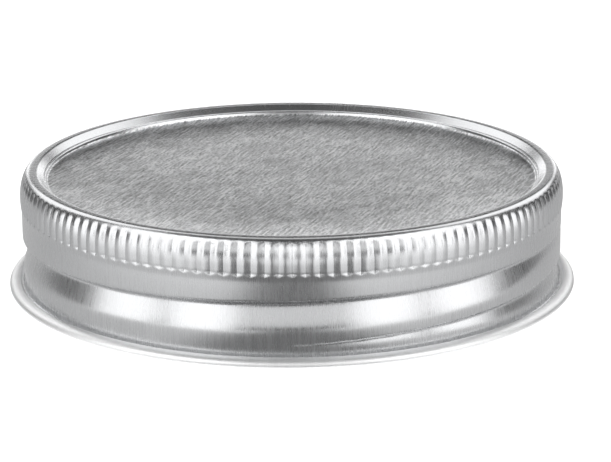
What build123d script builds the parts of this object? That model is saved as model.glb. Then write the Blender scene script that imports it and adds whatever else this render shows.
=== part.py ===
"""Screw-on jar lid drawn from one round of aluminium sheet, with a foam disc that seals on the glass."""

import os
from math import cos, radians, sin, tan

from build123d import *

# Sheet, overall height and the size of the closure, in millimetres
sheet = 0.3
lid_height = 14.5
band_radius = 33.75

# Top: flat panel, low step, narrow ledge, sloping wall and raised crest
rim_width = 3.42
panel_depth = 1.32
step_width = 0.17
step_height = 0.48
ledge_width = 0.26
ledge_rise = 0.06
crest_wall_width = 0.8
panel_radius = band_radius - rim_width

# Shoulder: a quarter of a tall ellipse from the crest round to the band, turned in short flats
shoulder_width = 1.45
shoulder_height = 3.0
shoulder_flats = 3

# Side: knurled grip band above a plain wall
band_height = 4.3
band_taper = 0.7
wall_inset = 0.15
band_foot_height = lid_height - band_height
wall_radius = band_radius - wall_inset

# Knurl: upright V grooves in the band, open at the top, where they run out on the shoulder
flute_count = 136
flute_width = 0.9
flute_depth = 0.18
flute_rise = 0.15

# Foot: the wall turns out into a shallow valley, then over a crown into a flared edge that is rolled under
edge_width = 1.8
edge_height = 0.95
valley_height = 0.75
crown_width = 0.7
flare_width = 0.25
flare_height = 0.62
lip_width = 0.15
lip_height = 0.25
edge_return = 1.0
edge_radius = wall_radius + edge_width

# Rolled thread: a groove outside that stands in as a ridge inside, six turns to the inch
thread_pitch = 25.4 / 6
thread_depth = 0.92
thread_upper_slope = 34
thread_lower_slope = 20

# Run of the thread in degrees round the wall from the front, and the height it passes at one of them
thread_start = 8
thread_full = 110
thread_fade = 400
thread_end = 450
thread_gauge_angle = 50
thread_gauge_height = 3.1
thread_lead_in = 30
thread_lead_drop = 0.7
thread_lift = 0.12
thread_halves = 2
thread_stations = 25

# How far the cutting shapes stand proud of the skin
skin_overrun = 0.05

# Sealing disc
liner_thickness = 1.0
liner_wall_gap = 0.45


def shoulder_line():
    """Corners of the shoulder in the XZ plane, from the crest round to the band."""
    centre = Vector(band_radius - shoulder_width, lid_height - shoulder_height)
    turn = radians(90) / shoulder_flats
    turns = [turn * flat for flat in range(shoulder_flats + 1)]
    return [centre + Vector(shoulder_width * sin(angle), shoulder_height * cos(angle)) for angle in turns]


def skin_line():
    """The outer skin in the XZ plane, from the centre of the panel to the end of the rolled edge."""
    panel_height = lid_height - panel_depth
    step_top = Vector(panel_radius + step_width, panel_height + step_height)
    ledge_end = step_top + Vector(ledge_width, ledge_rise)
    return Plane.XZ * Polyline(
        (0, panel_height),
        (panel_radius, panel_height),
        step_top,
        ledge_end,
        (ledge_end.X + crest_wall_width, lid_height),
        *shoulder_line(),
        (band_radius, band_foot_height),
        (wall_radius, band_foot_height - band_taper),
        (wall_radius, valley_height),
        (wall_radius + crown_width, edge_height),
        (edge_radius - flare_width, flare_height),
        (edge_radius, lip_height),
        (edge_radius - lip_width, 0),
        (edge_radius - edge_return, 0),
    )


def plain_shell():
    """The lid before its knurl and thread, at one thickness all through."""
    section = offset(skin_line(), sheet, kind=Kind.INTERSECTION, side=Side.RIGHT, closed=True)
    return revolve(make_face(section.edges()), Axis.Z)


def wall_core(growth):
    """What the plain wall holds between the valley and the band, as far out as the wall's skin and grown."""
    height = band_foot_height - band_taper - valley_height
    core = Cylinder(wall_radius + growth, height, align=(Align.CENTER, Align.CENTER, Align.MIN))
    return Pos(Z=valley_height) * core


def flutes():
    """The knurl's grooves as upright V bars all round the band."""
    tip = band_radius - flute_depth
    outer = band_radius + skin_overrun
    half_width = flute_width / 2 * (flute_depth + skin_overrun) / flute_depth
    vee = make_face(Polyline((tip, 0), (outer, half_width), (outer, -half_width), close=True).edges())
    bar = extrude(Pos(Z=band_foot_height + flute_rise) * vee, band_height - flute_rise)
    return [place * bar for place in PolarLocations(0, flute_count)]


def thread_apex(angle):
    """The groove's deepest point at an angle from the front, rising as a right-hand thread."""
    rise = min(1, (angle - thread_start) / (thread_full - thread_start))
    fall = min(1, (thread_end - angle) / (thread_end - thread_fade))
    share = min(rise, fall)
    share = share * share * (3 - 2 * share)
    radius = wall_radius + thread_lift - (thread_depth + thread_lift) * share
    lead = max(0, 1 - (angle - thread_start) / thread_lead_in)
    turns = (angle - thread_gauge_angle) / 360
    height = thread_gauge_height + thread_pitch * turns - thread_lead_drop * lead**2
    return Vector(radius * sin(radians(angle)), -radius * cos(radians(angle)), height)


def thread_section():
    """The groove across its run: X out of the wall, Y up, apex at the origin, steep above and long below."""
    reach = thread_depth + skin_overrun
    top = (reach, reach / tan(radians(thread_upper_slope)))
    bottom = (reach, -reach / tan(radians(thread_lower_slope)))
    return make_face(Polyline(top, (0, 0), bottom, close=True).edges())


def thread_runs(section):
    """The section carried along the thread, facing the axis, in parts that each stay under one turn."""
    runs = []
    span = (thread_end - thread_start) / thread_halves
    for part in range(thread_halves):
        first = thread_start + part * span
        angles = [first + span * step / thread_stations for step in range(thread_stations + 1)]
        path = Spline(*[thread_apex(angle) for angle in angles])
        start = path @ 0
        outwards = Vector(start.X, start.Y, 0)
        across = Plane(origin=start, x_dir=outwards, z_dir=outwards.cross(Vector(0, 0, 1)))
        lid_axis = Line((0, 0, start.Z), (0, 0, (path @ 1).Z))
        runs.append(sweep(across * section, path=path, binormal=lid_axis))
    return runs


def lid_shell():
    """The whole lid: the thread stands in by as much as it is cut, and the knurl is cut in the skin alone."""
    groove = thread_section()
    ridge = offset(groove, sheet, kind=Kind.INTERSECTION)
    shell = plain_shell() + [wall_core(-sheet / 2) & run for run in thread_runs(ridge)]
    for run in thread_runs(groove):
        shell -= wall_core(skin_overrun) & run
    return shell - flutes()


def sealing_liner():
    """The foam disc that lies flat against the underside of the panel, above the thread."""
    radius = band_radius - sheet - liner_wall_gap
    top = lid_height - panel_depth - sheet
    return Pos(Z=top) * Cylinder(radius, liner_thickness, align=(Align.CENTER, Align.CENTER, Align.MAX))


os.makedirs("parts", exist_ok=True)
export_step(lid_shell(), "parts/lid_shell.step")
export_step(sealing_liner(), "parts/sealing_liner.step")
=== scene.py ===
"""Aluminium screw lid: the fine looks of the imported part, as a small add-on that can be run as a script."""

from math import radians, tau

import bpy
import numpy as np
from mathutils import Matrix, Vector


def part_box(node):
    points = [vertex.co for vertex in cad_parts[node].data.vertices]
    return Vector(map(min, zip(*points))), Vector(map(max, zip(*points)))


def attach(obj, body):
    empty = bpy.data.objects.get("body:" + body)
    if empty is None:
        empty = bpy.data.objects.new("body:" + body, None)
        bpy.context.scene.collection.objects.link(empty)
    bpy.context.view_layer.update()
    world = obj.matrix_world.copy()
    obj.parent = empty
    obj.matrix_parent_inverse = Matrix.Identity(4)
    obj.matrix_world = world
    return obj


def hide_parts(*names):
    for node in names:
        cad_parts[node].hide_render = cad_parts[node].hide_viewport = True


bl_info = {
    "name": "Screw Lid",
    "version": (1, 0, 0),
    "blender": (4, 5, 0),
    "location": "3D View > Sidebar > Screw Lid",
    "description": "Builds a drawn aluminium screw lid with its sealing disc and a pale studio",
    "category": "Object",
}

MM = 0.001

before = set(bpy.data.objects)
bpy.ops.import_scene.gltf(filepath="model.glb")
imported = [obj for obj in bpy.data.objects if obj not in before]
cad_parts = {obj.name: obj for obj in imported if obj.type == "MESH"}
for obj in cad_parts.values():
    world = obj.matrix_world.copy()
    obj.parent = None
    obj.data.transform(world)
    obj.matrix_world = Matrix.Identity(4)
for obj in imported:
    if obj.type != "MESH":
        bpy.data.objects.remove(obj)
SHELL_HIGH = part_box("lid_shell")[1]
LINER_LOW, LINER_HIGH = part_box("sealing_liner")

# Steps of the mesh along each stretch of the skin: outside, and inside, where less of it is seen
FINE = {"arc": 4, "shoulder": 22, "taper": 15, "wall": 58, "edge": 12}
PLAIN = {"arc": 2, "shoulder": 8, "taper": 5, "wall": 22, "edge": 6}

# Radii of the flat panel's rings, and how far the wall's first and last rows keep from its ends
PANEL_RINGS = (0.4 * MM, 10 * MM, 20 * MM)
WALL_TOP_GAP = 0.3 * MM
WALL_FOOT_GAP = 0.1 * MM

# Where points lie from one groove's deepest line to the next, as shares of the pitch.
# Plain zones use every third of them.
FLUTE_SPOTS = (0.0, 0.03, 0.14, 1 / 3, 0.46, 0.54, 2 / 3, 0.86, 0.97)
PLAIN_STEP = 3

# Points round the sealing disc and round the glowing ring of painted reflection, and the radius of the disc's
# innermost ring
DISC_POINTS = 240
PAINTED_REFLECTION_POINTS = 96
DISC_HUB = 0.4 * MM

# The skin map counts turns round the axis, and this length along the skin
SKIN_UNIT = 100 * MM

# A corner that bends less than this, in radians, needs no arc
STRAIGHT = 1e-6

# How finely each texture repeats along its three ways: upright grain on the skin map, the rest per metre
UPRIGHT_GRAIN = (1500.0, 26.0, 1.0)
LONG_SCRATCHES = (420.0, 5.0, 1.0)
WALL_HAZE = (60.0, 60.0, 160.0)
PANEL_STREAKS = (330.0, 3000.0, 1.0)
PANEL_TICKS = (1500.0, 4500.0, 1.0)
PANEL_CLOUDS = (240.0, 380.0, 1.0)
PANEL_PATCHES = (75.0, 75.0, 1.0)
FOAM_PATCHES = (90.0, 90.0, 90.0)
FOAM_PORES = 2600.0
PAPER_PATCHES = (30.0, 30.0, 30.0)

# The range each texture gives a colour, about one, and the foam's range of roughness
SHEET_TONES = (0.95, 1.03)
STREAK_TONES = (-0.4, 2.4)
CLOUD_TONES = (0.75, 1.25)
PATCH_TONES = (0.8, 1.2)
PORE_TONES = (0.95, 1.02)
FOAM_TONES = (0.97, 1.02)
PAPER_TONES = (0.995, 1.005)
FOAM_ROUGHNESS = (0.75, 0.85)

# Floor and the glowing ring of painted reflection lie a little under the lid's foot, so that no faces share a
# plane
PAINTED_REFLECTION_DROP = 0.01 * MM
FLOOR_DROP = 0.02 * MM


def length(name, description, millimetres):
    """A length property with its default in millimetres."""
    return bpy.props.FloatProperty(
        name=name,
        description=description,
        default=millimetres * MM,
        min=0.0,
        precision=5,
        unit="LENGTH",
        subtype="DISTANCE",
    )


def turn(name, description, degrees):
    """An angle property with its default in degrees."""
    return bpy.props.FloatProperty(
        name=name,
        description=description,
        default=radians(degrees),
        precision=4,
        unit="ROTATION",
        subtype="ANGLE",
    )


def share(name, description, value, top=1.0):
    """A plain number from nothing to a top value."""
    return bpy.props.FloatProperty(
        name=name,
        description=description,
        default=value,
        min=0.0,
        max=top,
        precision=4,
        subtype="FACTOR" if top == 1.0 else "NONE",
    )


def colour(name, description, value):
    """A linear colour property."""
    return bpy.props.FloatVectorProperty(
        name=name,
        description=description,
        default=value,
        min=0.0,
        max=1.0,
        size=3,
        subtype="COLOR",
    )


class ScrewLidShellSettings(bpy.types.PropertyGroup):
    """Sizes of the pressed shell."""

    sheet: length("Sheet", "Thickness of the aluminium sheet", 0.3)
    lid_height: length("Height", "From the open edge to the crest", SHELL_HIGH.z / MM)
    band_radius: length("Band radius", "Outside of the knurled band", 33.75)
    panel_radius: length("Panel radius", "Flat of the recessed panel", 30.33)
    panel_depth: length("Panel depth", "From the crest down to the panel", 1.32)
    panel_round: length("Panel round", "Arc from the panel into the step", 0.25)
    step_width: length("Step width", "Run of the low step round the panel", 0.17)
    step_height: length("Step height", "Rise of the low step", 0.48)
    step_round: length("Step round", "Arc at the top of the step", 0.34)
    ledge_width: length("Ledge width", "Run of the narrow ledge above the step", 0.26)
    ledge_rise: length("Ledge rise", "Rise of the narrow ledge", 0.06)
    ledge_round: length("Ledge round", "Arc from the ledge into the slope", 0.3)
    crest_wall_width: length("Crest wall", "Run of the slope from the ledge to the crest", 0.8)
    crest_round: length("Crest round", "Arc at the crest", 0.4)
    shoulder_width: length("Shoulder width", "Run of the shoulder from the crest to the band", 1.45)
    shoulder_height: length("Shoulder height", "Fall of the shoulder from the crest to the band", 3.0)
    wall_radius: length("Wall radius", "Outside of the plain wall", 33.6)
    band_foot_height: length("Band foot", "Where the band starts to taper", 10.85)
    band_taper: length("Band taper", "Height of the taper below the band", 1.35)
    flute_count: bpy.props.IntProperty(
        name="Flutes",
        description="Number of knurl grooves",
        default=136,
        min=3,
    )
    flute_depth: length("Flute depth", "Depth of a knurl groove below the ribs", 0.18)
    flute_bow: share("Flute bow", "How far the flanks of a groove bow in", 0.4)
    flute_foot_height: length("Flute foot", "Where the knurl grooves start", 10.1)
    flute_foot_rise: length("Flute foot rise", "Height over which a groove reaches its depth", 0.38)
    flute_fade_height: length("Flute fade", "Where the grooves start to run out on the shoulder", 13.6)
    flute_top_height: length("Flute top", "Where the grooves have run out", 14.2)
    valley_height: length("Valley height", "Height of the narrow valley between wall and edge", 0.55)
    valley_width: length("Valley width", "Flat of the valley", 0.22)
    valley_round: length("Valley round", "Arc from the wall into the valley", 0.14)
    valley_rise_round: length("Valley rise round", "Arc from the valley up to the crown", 0.12)
    edge_radius: length("Edge radius", "Outside of the rolled edge", SHELL_HIGH.x / MM)
    edge_height: length("Edge height", "Height of the rolled edge's crown", 0.95)
    crown_width: length("Crown width", "From the wall to the rolled edge's crown", 0.7)
    crown_lead: length("Crown lead", "From the top of the valley's rise to the crown", 0.2)
    crown_drop: length("Crown drop", "How far the top of that rise lies under the crown", 0.02)
    crown_round: length("Crown round", "Arc at the top of that rise", 0.2)
    lip_height: length("Lip height", "Where the rolled edge is widest", 0.25)
    lip_width: length("Lip width", "Arc from the widest line to the underside", 0.15)
    edge_return: length("Edge return", "How far the edge turns back under", 1.0)
    thread_pitch: length("Thread pitch", "Rise of the thread in one turn", 25.4 / 6)
    thread_depth: length("Thread depth", "Depth of the rolled groove", 0.92)
    thread_growth: length("Thread growth", "How much deeper the thread is inside", 0.03)
    thread_lift: length("Thread lift", "How far outside the wall the groove starts", 0.12)
    thread_apex: length("Thread apex", "Softening of the groove's deepest line", 0.1)
    thread_brink: length("Thread brink", "Softening where the upper flank meets the wall", 0.05)
    thread_run_out: length("Thread run-out", "Softening where the lower flank meets the wall", 0.2)
    thread_upper_slope: turn("Upper slope", "Upper flank from the upright", 60)
    thread_lower_slope: turn("Lower slope", "Lower flank from the upright", 20)
    thread_start: turn("Thread start", "Angle its growth counts from; it shows from the front on", -20)
    thread_full: turn("Thread full", "Angle where the groove is at its full depth", 110)
    thread_fade: turn("Thread fade", "Angle where the groove starts to fade", 400)
    thread_end: turn("Thread end", "Angle where the groove has gone", 450)
    thread_gauge_angle: turn("Gauge angle", "Angle at which the gauge height is taken", 50)
    thread_gauge_height: length("Gauge height", "Height of the groove at the gauge angle", 3.1)
    thread_lead_in: turn("Lead-in", "Angle over which the start climbs to the thread", 60)
    thread_lead_drop: length("Lead-in drop", "How far below the thread the groove starts", 1.0)


class ScrewLidLinerSettings(bpy.types.PropertyGroup):
    """Sizes of the sealing disc."""

    radius: length("Radius", "Outside of the disc", LINER_HIGH.x / MM)
    thickness: length("Thickness", "Thickness of the foam", (LINER_HIGH.z - LINER_LOW.z) / MM)
    edge_round: length("Edge", "Softening of the disc's edges", 0.12)


class ScrewLidFinishSettings(bpy.types.PropertyGroup):
    """How the metal and the foam look."""

    # Rim, wall, inside and rolled edge are one aluminium sheet: the plain sheet's colour is painted shade,
    # set darker than the edge's to dim the floor that the wall reflects
    metal: colour("Metal", "Reflection of the plain sheet", (0.6, 0.605, 0.615))
    panel: colour("Panel", "Reflection of the matt panel", (0.66, 0.665, 0.675))
    edge: colour("Edge", "Reflection of the rolled edge", (0.84, 0.842, 0.845))
    foam: colour("Foam", "Colour of the sealing disc", (0.82, 0.82, 0.8))
    paper: colour("Paper", "Colour of the floor", (0.85, 0.85, 0.85))
    wall_roughness: share("Wall roughness", "Roughness of the side wall", 0.27)
    rim_roughness: share("Rim roughness", "Roughness of the rim", 0.26)
    edge_roughness: share("Edge roughness", "Roughness of the rolled edge", 0.5)
    panel_roughness: share("Panel roughness", "Roughness of the matt panel", 0.34)
    inside_roughness: share("Inside roughness", "Roughness inside the lid", 0.35)
    grain_turn: turn("Grain direction", "Direction of the panel's rolling grain", 69)


class ScrewLidStageSettings(bpy.types.PropertyGroup):
    """Camera, floor and light."""

    camera_place: bpy.props.FloatVectorProperty(
        name="Camera place",
        description="Where the camera stands",
        default=(0.0, -0.28473, 0.09025),
        size=3,
        precision=5,
        unit="LENGTH",
        subtype="TRANSLATION",
    )
    camera_drop: turn("Camera drop", "How far the camera looks down", 16.556)
    camera_yaw: turn("Camera yaw", "How far the camera looks to the right", 0.344)
    camera_roll: turn("Camera roll", "Turn of the camera about its own axis", -0.291)
    camera_lens: bpy.props.FloatProperty(
        name="Lens",
        description="Focal length on a sensor 36 mm wide",
        default=139.233,
        min=1.0,
        unit="CAMERA",
    )
    floor_size: length("Floor", "Side of the floor", 3000)
    light_distance: length("Light distance", "From the lid to the soft panels of light", 700)
    key_strength: share("Key light", "Radiance of the soft panels in front, left and right", 1.8, 10.0)
    low_strength: share("Low light", "Radiance of the low panel in front", 1.0, 10.0)
    rear_strength: share("Rear light", "Radiance of the soft panels behind, left and right", 1.6, 10.0)
    back_strength: share("Back light", "Radiance of the low panel behind", 1.8, 10.0)
    high_strength: share("High light", "Radiance of the panel high up behind", 0.85, 10.0)
    room_level: share("Room", "Radiance of the room around", 0.06, 10.0)
    floor_glow: share("Floor glow", "Light the floor gives off by itself", 0.6, 10.0)
    # Levels and sizes of the glowing ring of painted reflection: painted shade in a dark strip before and
    # behind the lid and close to it in front, lighter further out
    painted_reflection_dark: share("Card dark", "Level of the dark strip before and behind the lid", 0.2, 10.0)
    painted_reflection_near: share("Card near", "Level beside that strip in front, close to the lid", 0.8, 10.0)
    painted_reflection_light: share("Card light", "Level beside that strip in front, further out", 1.4, 10.0)
    painted_reflection_side: share("Card side", "Level of the card beside the lid and behind it", 0.6, 10.0)
    painted_reflection_near_radius: length("Card near radius", "Where the near level starts to change", 55)
    painted_reflection_light_radius: length("Card light radius", "Where the light level is reached", 78)
    painted_reflection_front: length("Card front", "How far before the axis the card is at its full front level", 70)
    painted_reflection_radius: length("Card radius", "Outside of the card round the lid", 400)
    painted_reflection_gap: length("Card gap", "Between the lid's edge and the card", 0.5)
    painted_strip_core: length("Strip core", "Half the width of the strip at its dark level", 10.5)
    painted_strip_fade: length("Strip fade", "Half the width where the strip has faded out", 19.6)


def smooth(value):
    """A value from 0 to 1, eased at both ends."""
    return value * value * (3 - 2 * value)


def rounded_line(corners):
    """Points, outward normals and zone names along a line whose corners are turned by arcs.

    A corner is (radius from the axis, height, arc radius, steps in the arc, zone after it).
    """
    points, normals, zones = [], [], []
    places = [np.array(corner[:2]) for corner in corners]
    zone = corners[0][4]
    for index, (_, _, arc, steps, after) in enumerate(corners):
        here = places[index]
        before_way = here - places[index - 1] if index else places[1] - here
        after_way = places[index + 1] - here if index + 1 < len(corners) else before_way
        before_way = before_way / np.linalg.norm(before_way)
        after_way = after_way / np.linalg.norm(after_way)
        first = np.array([-before_way[1], before_way[0]])
        last = np.array([-after_way[1], after_way[0]])
        bend = before_way[0] * after_way[1] - before_way[1] * after_way[0]
        angle = np.arctan2(bend, before_way @ after_way)
        if arc == 0 or abs(angle) < STRAIGHT:
            middle = first + last
            points.append(here)
            normals.append(middle / np.linalg.norm(middle))
            zones.append(after)
        else:
            start = here - before_way * arc * np.tan(abs(angle) / 2)
            side = -np.sign(angle)
            centre = start - first * arc * side
            for step in range(steps + 1):
                lean = angle * step / steps
                spin = np.array([[np.cos(lean), -np.sin(lean)], [np.sin(lean), np.cos(lean)]])
                normal = spin @ first
                points.append(centre + normal * arc * side)
                normals.append(normal)
                zones.append(zone if step < steps else after)
        zone = after
    return np.array(points), np.array(normals), zones


def quarter_oval(centre, width, height, steps, zones):
    """Corners of a quarter oval from its top round to its widest point, with the zone that follows each."""
    turns = np.linspace(0, np.pi / 2, steps + 1)
    heights = centre[1] + height * np.cos(turns)
    return [
        (centre[0] + width * np.sin(lean), level, 0, 0, zones(level)) for lean, level in zip(turns, heights)
    ]


def top_line(lid, steps):
    """Corners of the skin from the panel's centre over the rim and the shoulder to the band."""
    panel_height = lid.lid_height - lid.panel_depth
    step_top = (lid.panel_radius + lid.step_width, panel_height + lid.step_height)
    ledge_end = (step_top[0] + lid.ledge_width, step_top[1] + lid.ledge_rise)
    crest = (ledge_end[0] + lid.crest_wall_width, lid.lid_height)
    shoulder = (lid.band_radius - lid.shoulder_width, lid.lid_height - lid.shoulder_height)
    few = steps["arc"]
    return [
        *[(ring, panel_height, 0, 0, "panel") for ring in PANEL_RINGS],
        (lid.panel_radius, panel_height, lid.panel_round, few, "rim"),
        (*step_top, lid.step_round, few, "rim"),
        (*ledge_end, lid.ledge_round, few, "rim"),
        (*crest, lid.crest_round, few + 1, "rim"),
        *quarter_oval(
            shoulder,
            lid.shoulder_width,
            lid.shoulder_height,
            steps["shoulder"],
            lambda level: "band" if level < lid.flute_top_height else "rim",
        ),
    ]


def side_line(lid, steps):
    """Corners of the skin down the band's taper and the wall."""
    drop = lid.band_radius - lid.wall_radius
    taper_foot = lid.band_foot_height - lid.band_taper
    rows = np.linspace(taper_foot - WALL_TOP_GAP, lid.edge_height + WALL_FOOT_GAP, steps["wall"])
    taper = [
        (lid.band_radius - drop * smooth(part), lid.band_foot_height - lid.band_taper * part, 0, 0, "band")
        for part in np.linspace(0, 1, steps["taper"])
    ]
    return taper + [(lid.wall_radius, row, 0, 0, "wall") for row in rows]


def foot_line(lid, steps):
    """Corners of the skin through the valley, over the crown and round the rolled edge to its end."""
    crown = (lid.wall_radius + lid.crown_width, lid.lip_height)
    few = steps["arc"]
    return [
        (lid.wall_radius, lid.valley_height, lid.valley_round, few, "edge"),
        (lid.wall_radius + lid.valley_width, lid.valley_height, lid.valley_rise_round, few, "edge"),
        (crown[0] - lid.crown_lead, lid.edge_height - lid.crown_drop, lid.crown_round, few, "edge"),
        *quarter_oval(
            crown,
            lid.edge_radius - crown[0],
            lid.edge_height - lid.lip_height,
            steps["edge"],
            lambda level: "edge",
        ),
        (lid.edge_radius, 0, lid.lip_width, few, "edge"),
        (lid.edge_radius - lid.edge_return, 0, 0, 0, "edge"),
    ]


def thread_dent(lid, angles, height, growth):
    """How far the rolled thread presses the wall in at each angle, over its two laps from the front."""
    dent = np.zeros(len(angles))
    upper, lower = np.tan(lid.thread_upper_slope), np.tan(lid.thread_lower_slope)
    for lap in range(2):
        turned = angles + tau * lap
        inside = (turned > lid.thread_start) & (turned < lid.thread_end)
        rise = np.clip((turned - lid.thread_start) / (lid.thread_full - lid.thread_start), 0, 1)
        fall = np.clip((lid.thread_end - turned) / (lid.thread_end - lid.thread_fade), 0, 1)
        deepest = (lid.thread_depth + lid.thread_lift) * smooth(np.minimum(rise, fall)) - lid.thread_lift
        lead = np.clip(1 - (turned - lid.thread_start) / lid.thread_lead_in, 0, None)
        middle = lid.thread_gauge_height + lid.thread_pitch * (turned - lid.thread_gauge_angle) / tau
        off = height - (middle - lid.thread_lead_drop * lead**2)
        soft = np.sqrt(off**2 + lid.thread_apex**2) - lid.thread_apex
        flank = (upper - lower) / 2 * off + (upper + lower) / 2 * soft
        depth = deepest + growth - flank
        brink = np.where(off > 0, lid.thread_brink, lid.thread_run_out)
        pressed = (depth + np.sqrt(depth**2 + brink**2)) / 2
        dent = np.maximum(dent, np.where(inside, pressed, 0))
    return dent


def flute_cut(lid, angles, height):
    """Depth of the knurl at each angle: ribs between narrow grooves that run out at foot and shoulder."""
    pitch = tau / lid.flute_count
    off = np.abs((angles + pitch / 2) % pitch - pitch / 2) / (pitch / 2)
    up = np.clip((height - lid.flute_foot_height) / lid.flute_foot_rise, 0, 1)
    down = np.clip((lid.flute_top_height - height) / (lid.flute_top_height - lid.flute_fade_height), 0, 1)
    open_part = np.clip(up - off, 0, None)
    bowed = open_part * (1 - lid.flute_bow + lid.flute_bow * open_part)
    return lid.flute_depth * bowed * smooth(down)


def flute_angles(lid):
    """Angles round the lid, close together in each groove."""
    pitch = tau / lid.flute_count
    return np.concatenate([(index + np.array(FLUTE_SPOTS)) * pitch for index in range(lid.flute_count)])


def skin_rows(lid, fine):
    """Rings of the outer skin, or of the inner one, each as (radii, heights, zone, angles)."""
    steps = FINE if fine else PLAIN
    every = flute_angles(lid)
    rows = []
    corners = top_line(lid, steps) + side_line(lid, steps) + foot_line(lid, steps)
    for (radius, height), normal, zone in zip(*rounded_line(corners)):
        if fine and zone == "band":
            angles = every
            inwards = flute_cut(lid, angles, height)
        else:
            angles = every[:: PLAIN_STEP if fine else len(FLUTE_SPOTS)]
            inwards = np.full(len(angles), 0.0 if fine else lid.sheet)
        radii = radius - normal[0] * inwards
        if zone == "wall":
            radii = radii - thread_dent(lid, angles, height, 0.0 if fine else lid.thread_growth)
        rows.append((radii, height - normal[1] * inwards, zone, angles))
    return rows


def ring_faces(low_start, low_count, high_start, high_count):
    """Faces between two rings, which may differ threefold in their number of points."""
    faces = []
    count = min(low_count, high_count)
    low_step, high_step = low_count // count, high_count // count
    for index in range(count):
        low = [low_start + (index * low_step + k) % low_count for k in range(low_step + 1)]
        high = [high_start + (index * high_step + k) % high_count for k in range(high_step + 1)]
        if low_step == high_step:
            faces.append((low[0], high[0], high[1], low[1]))
        elif high_step == PLAIN_STEP:
            faces += [
                (low[0], high[0], high[1]),
                (low[0], high[1], high[2], low[1]),
                (low[1], high[2], high[3]),
            ]
        else:
            faces += [
                (low[0], high[0], low[1]),
                (low[1], high[0], high[1], low[2]),
                (low[2], high[1], low[3]),
            ]
    return faces


def lay_skin(mesh, around, along):
    """A skin map from each point's turn and its way along the skin, carried on across the seam."""
    skin = mesh.uv_layers.new(name="skin")
    loops = np.empty(len(mesh.loops), dtype=np.int32)
    mesh.loops.foreach_get("vertex_index", loops)
    begin = np.empty(len(mesh.polygons), dtype=np.int32)
    mesh.polygons.foreach_get("loop_start", begin)
    turns = np.array(around)[loops]
    highest = np.maximum.reduceat(turns, begin)
    sizes = np.diff(np.append(begin, len(loops)))
    just_before, just_after = 0.9, 0.1
    turns = turns + ((np.repeat(highest, sizes) > just_before) & (turns < just_after))
    ways = np.array(along)[loops] / SKIN_UNIT
    skin.data.foreach_set("uv", np.stack([turns, ways], axis=1).ravel())


def lathe_mesh(name, rows, slots):
    """A closed mesh from rings, with a point on the axis at either end and a slot for each zone."""
    points, around, along, starts = [], [], [], []
    travelled = 0.0
    for index, (radii, heights, _, angles) in enumerate(rows):
        if index:
            last_radii, last_heights = rows[index - 1][:2]
            travelled += np.hypot(radii.mean() - last_radii.mean(), heights.mean() - last_heights.mean())
        starts.append(len(points))
        points.extend(np.stack([radii * np.sin(angles), -radii * np.cos(angles), heights], axis=1).tolist())
        around.extend((angles / tau).tolist())
        along.extend([travelled] * len(angles))
    faces, marks = [], []
    for index in range(len(rows) - 1):
        made = ring_faces(starts[index], len(rows[index][0]), starts[index + 1], len(rows[index + 1][0]))
        faces += made
        marks += [slots[rows[index][2]]] * len(made)
    for index in (0, len(rows) - 1):
        radii, heights, zone, _ = rows[index]
        hub = len(points)
        points.append([0.0, 0.0, float(heights.mean())])
        around.append(0.0)
        along.append(along[starts[index]])
        for k in range(len(radii)):
            edge = (starts[index] + k, starts[index] + (k + 1) % len(radii))
            faces.append((hub, *edge) if index == 0 else (hub, *reversed(edge)))
            marks.append(slots[zone])
    mesh = bpy.data.meshes.new(name)
    mesh.from_pydata(points, [], faces)
    mesh.polygons.foreach_set("material_index", marks)
    mesh.polygons.foreach_set("use_smooth", [True] * len(faces))
    lay_skin(mesh, around, along)
    mesh.validate()
    return mesh


def build_shell(lid):
    """The whole shell as one closed skin: outside, round the rolled edge, and back up inside."""
    inner = reversed(skin_rows(lid, False))
    inner = [(radii, heights, "inside", angles) for radii, heights, _, angles in inner]
    slots = {"panel": 0, "rim": 1, "band": 2, "wall": 2, "edge": 3, "inside": 4}
    return lathe_mesh("lid_shell_fine", skin_rows(lid, True) + inner, slots)


def build_liner(disc, top):
    """The foam disc with softened edges."""
    foot = top - disc.thickness
    corners = [
        (DISC_HUB, top, 0, 0, "foam"),
        (disc.radius, top, disc.edge_round, FINE["arc"], "foam"),
        (disc.radius, foot, disc.edge_round, FINE["arc"], "foam"),
        (DISC_HUB, foot, 0, 0, "foam"),
    ]
    points, _, zones = rounded_line(corners)
    angles = np.arange(DISC_POINTS) * tau / DISC_POINTS
    rows = [
        (np.full(DISC_POINTS, radius), np.full(DISC_POINTS, height), zone, angles)
        for (radius, height), zone in zip(points, zones)
    ]
    return lathe_mesh("sealing_liner_fine", rows, {"foam": 0})


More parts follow.
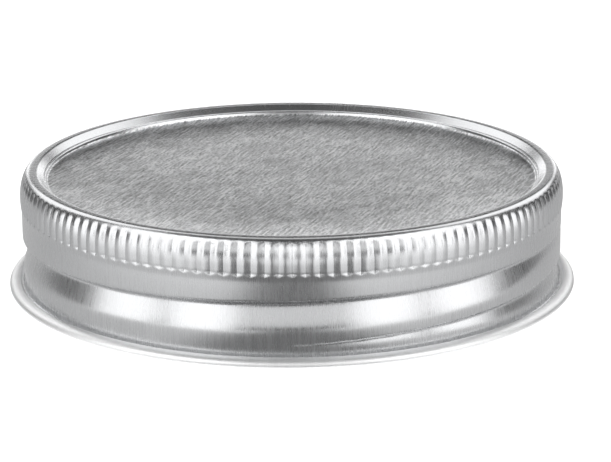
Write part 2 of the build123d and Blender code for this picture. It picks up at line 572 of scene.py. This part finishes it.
class Graph:
    """Builds one material's nodes."""

    start, spacing = -1600, 180
    noise_low, noise_high = 0.25, 0.75

    def __init__(self, name):
        self.material = bpy.data.materials.new(name)
        self.material.use_nodes = True
        self.tree = self.material.node_tree
        self.shader = self.tree.nodes["Principled BSDF"]
        self.column = 0

    def node(self, kind, inputs=None, **settings):
        """A new node with its settings and inputs. An input may be a value or another node's output."""
        made = self.tree.nodes.new(kind)
        made.location = (self.start + self.spacing * self.column, 0)
        self.column += 1
        for key, value in settings.items():
            setattr(made, key, value)
        for key, value in (inputs or {}).items():
            self.plug(made.inputs[key], value)
        return made

    def plug(self, socket, value):
        """Sets a socket's value or links it."""
        if isinstance(value, bpy.types.NodeSocket):
            self.tree.links.new(value, socket)
        else:
            socket.default_value = value

    def finish(self, inputs):
        """Plugs the shader's own sockets."""
        for key, value in inputs.items():
            self.plug(self.shader.inputs[key], value)

    def math(self, operation, first, second=0.0):
        """One arithmetic step."""
        return self.node("ShaderNodeMath", {0: first, 1: second}, operation=operation).outputs[0]

    def mix(self, first, second, part):
        """Two values added, the first with this part of the whole and the second with the rest."""
        return self.math("ADD", self.math("MULTIPLY", first, part), self.math("MULTIPLY", second, 1 - part))

    def ramp(self, value, start, end, first, last):
        """A value that goes from the first level to the last while another runs from start to end."""
        sockets = {"Value": value, "From Min": start, "From Max": end, "To Min": first, "To Max": last}
        return self.node("ShaderNodeMapRange", sockets).outputs["Result"]

    def spread(self, value, low, high):
        """A noise value, which lies about a half, spread to a range."""
        return self.ramp(value, self.noise_low, self.noise_high, low, high)

    def noise(self, vector, detail=2.0, rough=0.5, flat=False):
        """A noise texture's value."""
        inputs = {"Vector": vector, "Scale": 1.0, "Detail": detail, "Roughness": rough}
        made = self.node("ShaderNodeTexNoise", inputs, noise_dimensions="2D" if flat else "3D")
        return made.outputs["Fac"]

    def place(self, source, scale, turned=0.0):
        """Texture coordinates, turned about the upright and then stretched."""
        coordinates = self.node("ShaderNodeTexCoord").outputs[source]
        if turned:
            rotation = {"Vector": coordinates, "Rotation": (0.0, 0.0, turned)}
            coordinates = self.node("ShaderNodeMapping", rotation).outputs["Vector"]
        return self.node("ShaderNodeMapping", {"Vector": coordinates, "Scale": scale}).outputs["Vector"]

    def shade(self, base, amount):
        """A colour made lighter or darker by a value about one."""
        made = self.node("ShaderNodeVectorMath", {0: (*base,), 1: amount}, operation="MULTIPLY")
        return made.outputs["Vector"]

    def bump(self, height, strength, distance):
        """A fine relief."""
        made = self.node("ShaderNodeBump", {"Height": height, "Strength": strength, "Distance": distance})
        return made.outputs["Normal"]


def drawn_metal(name, base, roughness, grain, uneven, relief):
    """Sheet drawn over a die: fine upright grain, a few longer scratches and slow patches of haze."""
    graph = Graph(name)
    fine = graph.noise(graph.place("UV", UPRIGHT_GRAIN), detail=3.0, rough=0.6, flat=True)
    long = graph.noise(graph.place("UV", LONG_SCRATCHES), flat=True)
    haze = graph.noise(graph.place("Object", WALL_HAZE))
    lines = graph.mix(fine, long, part=0.65)
    dull = graph.spread(haze, roughness - uneven, roughness + uneven)
    graph.finish(
        {
            "Base Color": graph.shade(base, graph.spread(lines, *SHEET_TONES)),
            "Roughness": graph.math("ADD", graph.spread(lines, -grain, grain), dull),
            "Metallic": 1.0,
            "Normal": graph.bump(lines, strength=relief, distance=0.02 * MM),
        }
    )
    return graph.material


def rolled_metal(name, base, roughness, grain_turn, uneven, relief):
    """Matt rolled sheet: short dark and light streaks in one direction over cloudy patches."""
    graph = Graph(name)
    long = graph.noise(graph.place("Object", PANEL_STREAKS, -grain_turn), detail=3.0, rough=0.65)
    short = graph.noise(graph.place("Object", PANEL_TICKS, -grain_turn), detail=3.0, rough=0.65)
    cloud = graph.noise(graph.place("Object", PANEL_CLOUDS, -grain_turn), detail=3.0, rough=0.55)
    patches = graph.noise(graph.place("Object", PANEL_PATCHES))
    lines = graph.mix(long, short, part=0.5)
    light = graph.math("MULTIPLY", graph.spread(lines, *STREAK_TONES), graph.spread(cloud, *CLOUD_TONES))
    light = graph.math("MULTIPLY", light, graph.spread(patches, *PATCH_TONES))
    graph.finish(
        {
            "Base Color": graph.shade(base, light),
            "Roughness": graph.spread(cloud, roughness - uneven, roughness + uneven),
            "Metallic": 1.0,
            "Normal": graph.bump(lines, strength=relief, distance=0.03 * MM),
        }
    )
    return graph.material


def foam_finish(name, base):
    """Closed-cell foam: a soft white with fine pores."""
    graph = Graph(name)
    coordinates = graph.node("ShaderNodeTexCoord").outputs["Object"]
    cells = graph.node("ShaderNodeTexVoronoi", {"Vector": coordinates, "Scale": FOAM_PORES})
    pores = cells.outputs["Distance"]
    patches = graph.noise(graph.place("Object", FOAM_PATCHES), detail=3.0)
    tone = graph.math("MULTIPLY", graph.spread(pores, *PORE_TONES), graph.spread(patches, *FOAM_TONES))
    graph.finish(
        {
            "Base Color": graph.shade(base, tone),
            "Roughness": graph.spread(patches, *FOAM_ROUGHNESS),
            "Normal": graph.bump(pores, strength=0.4, distance=0.04 * MM),
        }
    )
    return graph.material


def paper_finish(name, base, glow):
    """Plain pale paper that gives off a little light of its own."""
    graph = Graph(name)
    tone = graph.noise(graph.place("Object", PAPER_PATCHES))
    graph.finish(
        {
            "Base Color": graph.shade(base, graph.spread(tone, *PAPER_TONES)),
            "Roughness": 0.9,
            "Specular IOR Level": 0.0,
            "Emission Color": (1.0, 1.0, 1.0, 1.0),
            "Emission Strength": glow,
        }
    )
    return graph.material


def add_object(name, data):
    """Links a new object to the scene."""
    made = bpy.data.objects.new(name, data)
    bpy.context.scene.collection.objects.link(made)
    return made


class OBJECT_OT_screw_lid_shell(bpy.types.Operator):
    """Builds the pressed aluminium shell with its rim, knurl, thread and rolled edge"""

    bl_idname = "object.screw_lid_shell"
    bl_label = "Shell"

    def execute(self, context):
        finish = context.scene.screw_lid_finish
        shell = add_object("lid_shell_fine", build_shell(context.scene.screw_lid_shell))
        panel, metal, edge = tuple(finish.panel), tuple(finish.metal), tuple(finish.edge)
        matt, inside, grain_turn = finish.panel_roughness, finish.inside_roughness, finish.grain_turn
        for material in (
            rolled_metal("aluminium_panel", panel, matt, grain_turn, uneven=0.05, relief=0.5),
            drawn_metal("aluminium_rim", metal, finish.rim_roughness, grain=0.02, uneven=0.02, relief=0.03),
            drawn_metal("aluminium_wall", metal, finish.wall_roughness, grain=0.05, uneven=0.02, relief=0.2),
            drawn_metal("aluminium_edge", edge, finish.edge_roughness, grain=0.03, uneven=0.03, relief=0.05),
            drawn_metal("aluminium_inside", metal, inside, grain=0.05, uneven=0.04, relief=0.2),
        ):
            shell.data.materials.append(material)
        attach(shell, "root")
        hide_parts("lid_shell")
        return {"FINISHED"}


class OBJECT_OT_screw_lid_liner(bpy.types.Operator):
    """Builds the foam disc that seals on the glass"""

    bl_idname = "object.screw_lid_liner"
    bl_label = "Sealing disc"

    def execute(self, context):
        lid = context.scene.screw_lid_shell
        finish = context.scene.screw_lid_finish
        top = lid.lid_height - lid.panel_depth - lid.sheet
        liner = add_object("sealing_liner_fine", build_liner(context.scene.screw_lid_liner, top))
        liner.data.materials.append(foam_finish("foam", tuple(finish.foam)))
        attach(liner, "root")
        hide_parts("sealing_liner")
        return {"FINISHED"}


def soft_panel(name, distance, bearings, elevations, radiance):
    """A soft light panel that faces the lid and spans these angles as seen from it, in degrees.

    A bearing is measured from the camera's side towards the right.
    """
    turned, up = radians(sum(bearings) / 2), radians(sum(elevations) / 2)
    light = bpy.data.lights.new(name, "AREA")
    light.shape = "RECTANGLE"
    light.size = 2 * distance * np.tan(radians(max(bearings) - min(bearings)) / 2) * np.cos(up)
    light.size_y = 2 * distance * np.tan(radians(max(elevations) - min(elevations)) / 2)
    light.energy = radiance * light.size * light.size_y * np.pi
    made = add_object(name, light)
    away = Vector((np.sin(turned) * np.cos(up), -np.cos(turned) * np.cos(up), np.sin(up)))
    made.location = away * distance
    made.rotation_euler = away.to_track_quat("Z", "Y").to_euler()
    made.visible_camera = False
    return made


def studio_lights(stage):
    """Low panels before and behind the lid, one high up behind, and rows of tall ones on either side.

    Each has its bearings and its elevations in degrees.
    """
    distance = stage.light_distance
    lights = [
        soft_panel("low_front", distance, (-20, 20), (12, 34), stage.low_strength),
        soft_panel("low_back", distance, (155, 205), (0, 14), stage.back_strength),
        soft_panel("high_back", distance, (150, 210), (50, 80), stage.high_strength),
    ]
    front_tall, rear_tall = (0, 60), (16, 60)
    for side, way in (("left", -1), ("right", 1)):
        near, middle, far = way * 21, way * 55, way * 91
        rear = (way * 120, way * 158)
        lights += [
            soft_panel(f"key_inner_{side}", distance, (near, middle), front_tall, stage.key_strength),
            soft_panel(f"key_outer_{side}", distance, (middle, far), front_tall, stage.key_strength),
            soft_panel(f"rear_{side}", distance, rear, rear_tall, stage.rear_strength),
        ]
    return lights


def painted_reflection_glow(name, stage):
    """Painted reflection: a glow with a dark strip of painted shade before and behind the lid, lighter on
    both sides of it, and darker close to the lid in front.
    """
    graph = Graph(name)
    graph.tree.nodes.remove(graph.shader)
    coordinates = graph.node("ShaderNodeTexCoord").outputs["Object"]
    place = graph.node("ShaderNodeSeparateXYZ", {"Vector": coordinates}).outputs
    radius = graph.node("ShaderNodeVectorMath", {0: coordinates}, operation="LENGTH").outputs["Value"]
    ends = (stage.painted_reflection_near_radius, stage.painted_reflection_light_radius)
    front = graph.ramp(radius, *ends, stage.painted_reflection_near, stage.painted_reflection_light)
    beside = graph.ramp(place["Y"], -stage.painted_reflection_front, 0.0, front, stage.painted_reflection_side)
    away = graph.math("ABSOLUTE", place["X"])
    level = graph.ramp(away, stage.painted_strip_core, stage.painted_strip_fade, stage.painted_reflection_dark, beside)
    # This glow is painted reflection and no lamp: only gloss sees it
    glow = graph.node("ShaderNodeEmission", {"Strength": level})
    graph.plug(graph.tree.nodes["Material Output"].inputs["Surface"], glow.outputs["Emission"])
    return graph.material


def add_painted_reflection_card(stage):
    """A glowing ring of painted reflection on the floor round the lid, which only gloss sees: its levels
    paint the floor's shade near the lid into the lid's reflections.
    """
    inside = SHELL_HIGH.x + stage.painted_reflection_gap
    angles = np.arange(PAINTED_REFLECTION_POINTS) * tau / PAINTED_REFLECTION_POINTS
    rings = (inside, stage.painted_reflection_radius)
    points = [(ring * np.cos(angle), ring * np.sin(angle), 0.0) for ring in rings for angle in angles]
    following = [(k + 1) % PAINTED_REFLECTION_POINTS for k in range(PAINTED_REFLECTION_POINTS)]
    faces = [(k, after, PAINTED_REFLECTION_POINTS + after, PAINTED_REFLECTION_POINTS + k) for k, after in enumerate(following)]
    mesh = bpy.data.meshes.new("painted_reflection_card")
    mesh.from_pydata(points, [], faces)
    mesh.materials.append(painted_reflection_glow("painted_reflection_card", stage))
    painted_reflection_card = add_object("painted_reflection_card", mesh)
    painted_reflection_card.location.z = -PAINTED_REFLECTION_DROP
    painted_reflection_card.visible_camera = painted_reflection_card.visible_diffuse = painted_reflection_card.visible_shadow = painted_reflection_card.visible_transmission = False
    return painted_reflection_card


def studio_floor(stage, base):
    """A wide sheet of paper under the lid."""
    half = stage.floor_size / 2
    corners = [(-half, -half, 0), (half, -half, 0), (half, half, 0), (-half, half, 0)]
    mesh = bpy.data.meshes.new("floor")
    mesh.from_pydata(corners, [], [(0, 1, 2, 3)])
    mesh.materials.append(paper_finish("floor_paper", base, stage.floor_glow))
    floor = add_object("floor", mesh)
    floor.location.z = -FLOOR_DROP
    return floor


def studio_camera(stage):
    """The camera at the photo's angle."""
    camera = bpy.data.cameras.new("camera")
    camera.sensor_width = 36.0
    camera.lens = stage.camera_lens
    camera.clip_start, camera.clip_end = 0.01, 10.0
    eye = add_object("camera", camera)
    yaw = Matrix.Rotation(-stage.camera_yaw, 4, "Z")
    pitch = Matrix.Rotation(radians(90) - stage.camera_drop, 4, "X")
    roll = Matrix.Rotation(stage.camera_roll, 4, "Z")
    eye.matrix_world = Matrix.Translation(stage.camera_place) @ yaw @ pitch @ roll
    return eye


class OBJECT_OT_screw_lid_stage(bpy.types.Operator):
    """Sets the pale floor, the soft panels of light and the camera"""

    bl_idname = "object.screw_lid_stage"
    bl_label = "Stage"

    def execute(self, context):
        scene = context.scene
        stage = scene.screw_lid_stage
        floor = studio_floor(stage, tuple(scene.screw_lid_finish.paper))
        # Painted reflection: a glowing ring round the lid that only gloss sees, with painted shade close to
        # the lid
        add_painted_reflection_card(stage)
        lights = studio_lights(stage)
        eye = studio_camera(stage)
        scene.camera = eye

        scene.world = bpy.data.worlds.new("room")
        scene.world.use_nodes = True
        level = stage.room_level
        scene.world.node_tree.nodes["Background"].inputs["Color"].default_value = (level, level, level, 1.0)
        scene.view_settings.view_transform = "Standard"
        scene.view_settings.look = "None"
        return {"FINISHED"}


STEPS = (OBJECT_OT_screw_lid_shell, OBJECT_OT_screw_lid_liner, OBJECT_OT_screw_lid_stage)


class VIEW3D_PT_screw_lid(bpy.types.Panel):
    """Lists the steps that build the lid"""

    bl_idname = "VIEW3D_PT_screw_lid"
    bl_label = "Screw Lid"
    bl_space_type = "VIEW_3D"
    bl_region_type = "UI"
    bl_category = "Screw Lid"

    def draw(self, context):
        for step in STEPS:
            self.layout.operator(step.bl_idname)


SETTINGS = {
    "screw_lid_shell": ScrewLidShellSettings,
    "screw_lid_liner": ScrewLidLinerSettings,
    "screw_lid_finish": ScrewLidFinishSettings,
    "screw_lid_stage": ScrewLidStageSettings,
}
CLASSES = (*SETTINGS.values(), *STEPS, VIEW3D_PT_screw_lid)


def register():
    """Adds the classes and hangs the settings on the scene."""
    for made in CLASSES:
        bpy.utils.register_class(made)
    for name, group in SETTINGS.items():
        setattr(bpy.types.Scene, name, bpy.props.PointerProperty(type=group))


def unregister():
    """Takes the settings and classes away again."""
    for name in SETTINGS:
        delattr(bpy.types.Scene, name)
    for made in reversed(CLASSES):
        bpy.utils.unregister_class(made)


def main():
    """Runs every step in order."""
    register()
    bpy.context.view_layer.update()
    for step in STEPS:
        area, name = step.bl_idname.split(".")
        if getattr(getattr(bpy.ops, area), name)() != {"FINISHED"}:
            raise RuntimeError(f"{step.bl_label} did not finish")


if __name__ == "__main__":
    main()
